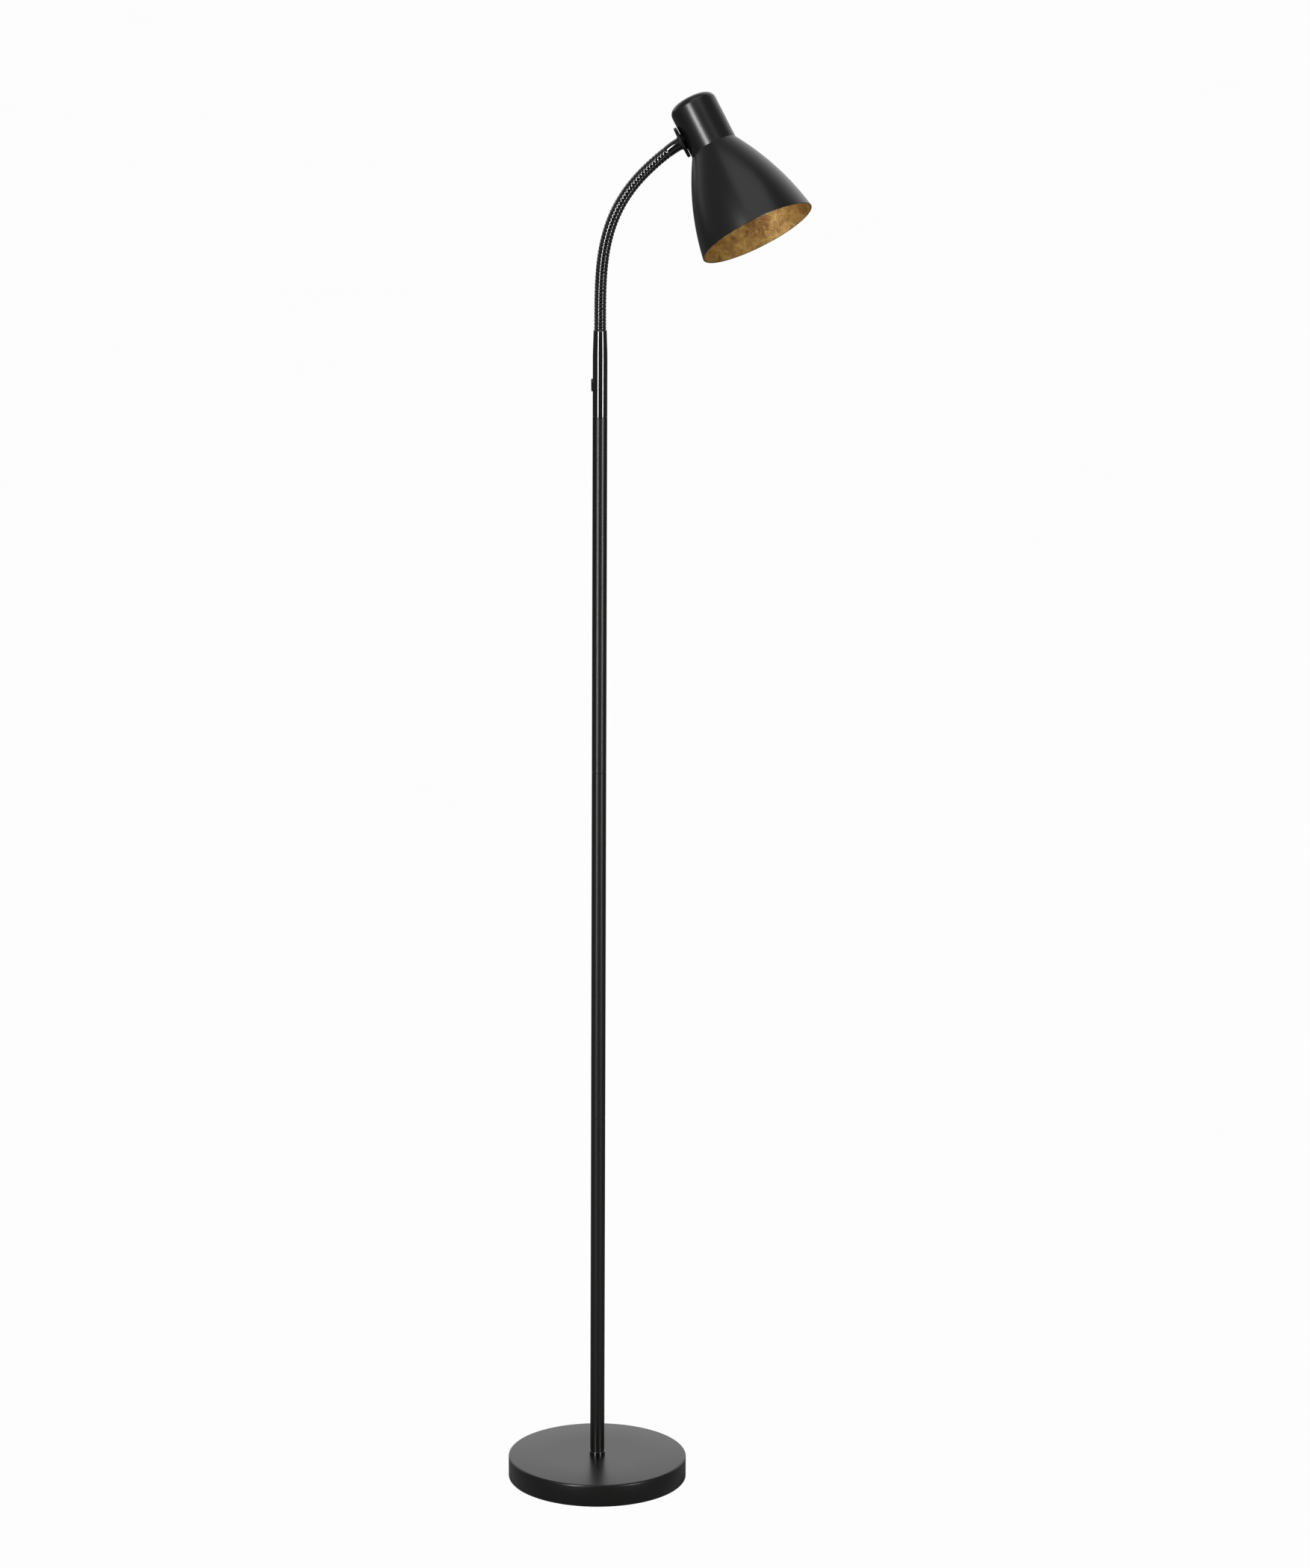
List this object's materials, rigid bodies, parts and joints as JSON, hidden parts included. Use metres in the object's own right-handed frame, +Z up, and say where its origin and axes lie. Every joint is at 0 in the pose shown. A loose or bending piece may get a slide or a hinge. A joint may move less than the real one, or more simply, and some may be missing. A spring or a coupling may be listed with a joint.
{
  "type": "floor lamp",
  "caption": "Black reading floor lamp: round weighted base, pole of screwed tubes, rocker switch, ribbed gooseneck and a bell-shaped swivelling head with a small screw lampholder.",
  "frame": {"origin": "centre of the base on the floor, on the pole's axis", "axes": "+Z up the pole, +X the way the gooseneck leans, +Y the back where the mains lead enters, the switch faces -X"},
  "size_m": [0.3249, 0.2143, 1.5814],
  "materials": {
    "black_lacquer": "satin",
    "black_gloss": "gloss",
    "cast_weight": "matte",
    "foam": "matte",
    "zinc": "satin",
    "brass": "satin",
    "black_plastic": "gloss",
    "holder_plastic": "matte",
    "insulator": "matte"
  },
  "bodies": {
    "stand": {"base_cover": "black_gloss", "base_nut": "zinc", "base_pad": "foam", "base_tube": "zinc", "base_weight": "cast_weight", "cord_inlet": "black_plastic", "foot_collar": "black_gloss", "pole_bushes": "zinc", "pole_studs": "zinc", "pole_lower": "black_lacquer", "pole_middle": "black_lacquer", "pole_upper": "black_lacquer", "switch_tube": "black_gloss", "switch_housing": "black_plastic", "switch_pin": "zinc", "switch_blades": "brass"},
    "neck_foot": {"gooseneck_foot": "black_gloss", "stem_nut": "zinc"},
    "link_01": {"gooseneck_link_01": "black_gloss"},
    "link_02": {"gooseneck_link_02": "black_gloss"},
    "link_03": {"gooseneck_link_03": "black_gloss"},
    "link_04": {"gooseneck_link_04": "black_gloss"},
    "link_05": {"gooseneck_link_05": "black_gloss"},
    "link_06": {"gooseneck_link_06": "black_gloss"},
    "link_07": {"gooseneck_link_07": "black_gloss"},
    "link_08": {"gooseneck_link_08": "black_gloss"},
    "link_09": {"gooseneck_link_09": "black_gloss"},
    "link_10": {"gooseneck_link_10": "black_gloss"},
    "neck_end": {"gooseneck_end": "black_gloss", "end_ring": "zinc", "joint_nut": "zinc"},
    "head": {"cover_disc": "black_gloss", "outer_saddle": "black_gloss", "inner_saddle": "zinc", "shade": "black_lacquer", "socket_bracket": "zinc", "holder_cap": "holder_plastic", "holder_skirt": "holder_plastic", "screw_shell": "brass", "holder_insulator": "insulator", "centre_contact": "brass", "terminal_screws": "brass", "entry_tube": "zinc", "entry_nut": "zinc"},
    "rocker": {"switch_rocker": "black_plastic"}
  },
  "joints": [
    {"name": "neck_sweep", "type": "hinge", "parent": "stand", "child": "neck_foot", "pos_m": [0, 0, 1.3225], "axis": [0, 0, 1], "range_deg": [-90, 90]},
    {"name": "bend_01", "type": "hinge", "parent": "neck_foot", "child": "link_01", "pos_m": [0, 0, 1.3365], "axis": [0, 1, 0], "range_deg": [-0.42, 0.42]},
    {"name": "bend_02", "type": "hinge", "parent": "link_01", "child": "link_02", "pos_m": [0.00014, 0, 1.3565], "axis": [0, 1, 0], "range_deg": [-1.37, 1.37]},
    {"name": "bend_03", "type": "hinge", "parent": "link_02", "child": "link_03", "pos_m": [0.00075, 0, 1.37649], "axis": [0, 1, 0], "range_deg": [-2.79, 2.79]},
    {"name": "bend_04", "type": "hinge", "parent": "link_03", "child": "link_04", "pos_m": [0.00232, 0, 1.39643], "axis": [0, 1, 0], "range_deg": [-4.39, 4.39]},
    {"name": "bend_05", "type": "hinge", "parent": "link_04", "child": "link_05", "pos_m": [0.00542, 0, 1.41619], "axis": [0, 1, 0], "range_deg": [-5.95, 5.95]},
    {"name": "bend_06", "type": "hinge", "parent": "link_05", "child": "link_06", "pos_m": [0.01053, 0, 1.43552], "axis": [0, 1, 0], "range_deg": [-7.2, 7.2]},
    {"name": "bend_07", "type": "hinge", "parent": "link_06", "child": "link_07", "pos_m": [0.01803, 0, 1.45406], "axis": [0, 1, 0], "range_deg": [-7.86, 7.86]},
    {"name": "bend_08", "type": "hinge", "parent": "link_07", "child": "link_08", "pos_m": [0.02799, 0, 1.47141], "axis": [0, 1, 0], "range_deg": [-7.76, 7.76]},
    {"name": "bend_09", "type": "hinge", "parent": "link_08", "child": "link_09", "pos_m": [0.0402, 0, 1.48725], "axis": [0, 1, 0], "range_deg": [-6.74, 6.74]},
    {"name": "bend_10", "type": "hinge", "parent": "link_09", "child": "link_10", "pos_m": [0.05417, 0, 1.50155], "axis": [0, 1, 0], "range_deg": [-4.87, 4.87]},
    {"name": "bend_11", "type": "hinge", "parent": "link_10", "child": "neck_end", "pos_m": [0.06931, 0, 1.51463], "axis": [0, 1, 0], "range_deg": [-2.42, 2.42]},
    {"name": "head_swivel", "type": "hinge", "parent": "neck_end", "child": "head", "pos_m": [0.08485, 0, 1.52549], "axis": [0.887, 0, 0.4617], "range_deg": [-124.7, 175.3]},
    {"name": "rocker_tilt", "type": "hinge", "parent": "stand", "child": "rocker", "pos_m": [-0.007, 0, 1.261], "axis": [0, 1, 0], "range_deg": [0, 16]}
  ],
  "couplings": [
    {"joint": "bend_01", "follows": "bend_07", "ratio": 0.05088},
    {"joint": "bend_02", "follows": "bend_07", "ratio": 0.17134},
    {"joint": "bend_03", "follows": "bend_07", "ratio": 0.35231},
    {"joint": "bend_04", "follows": "bend_07", "ratio": 0.55647},
    {"joint": "bend_05", "follows": "bend_07", "ratio": 0.7545},
    {"joint": "bend_06", "follows": "bend_07", "ratio": 0.91361},
    {"joint": "bend_08", "follows": "bend_07", "ratio": 0.98535},
    {"joint": "bend_09", "follows": "bend_07", "ratio": 0.85518},
    {"joint": "bend_10", "follows": "bend_07", "ratio": 0.61701},
    {"joint": "bend_11", "follows": "bend_07", "ratio": 0.30526}
  ]
}
